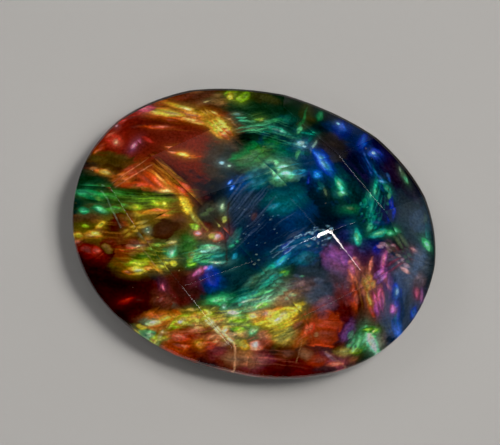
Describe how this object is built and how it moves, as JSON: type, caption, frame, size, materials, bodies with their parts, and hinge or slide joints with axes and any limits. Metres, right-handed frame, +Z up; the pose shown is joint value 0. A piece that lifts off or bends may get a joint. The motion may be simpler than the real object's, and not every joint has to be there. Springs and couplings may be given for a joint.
{
  "type": "faceted ammolite gem",
  "caption": "Loose oval ammolite gem: thin iridescent shell sheet on a dark shale base, under a clear quartz cap cut in a checkerboard of flat facets.",
  "frame": {"origin": "centre of the flat base", "axes": "+X along the oval's long axis, +Y along its short axis, +Z up from the base through the faceted cap"},
  "size_m": [0.02, 0.016, 0.0049],
  "materials": {
    "clear_quartz": "clear, polished facets, ground girdle",
    "iridescent_shell": "iridescent nacre, red and gold to green, blue and violet",
    "dark_shale": "matt, sawn and ground"
  },
  "bodies": {
    "root": {"quartz_cap": "clear_quartz", "ammolite_sheet": "iridescent_shell", "shale_base": "dark_shale"}
  },
  "joints": []
}
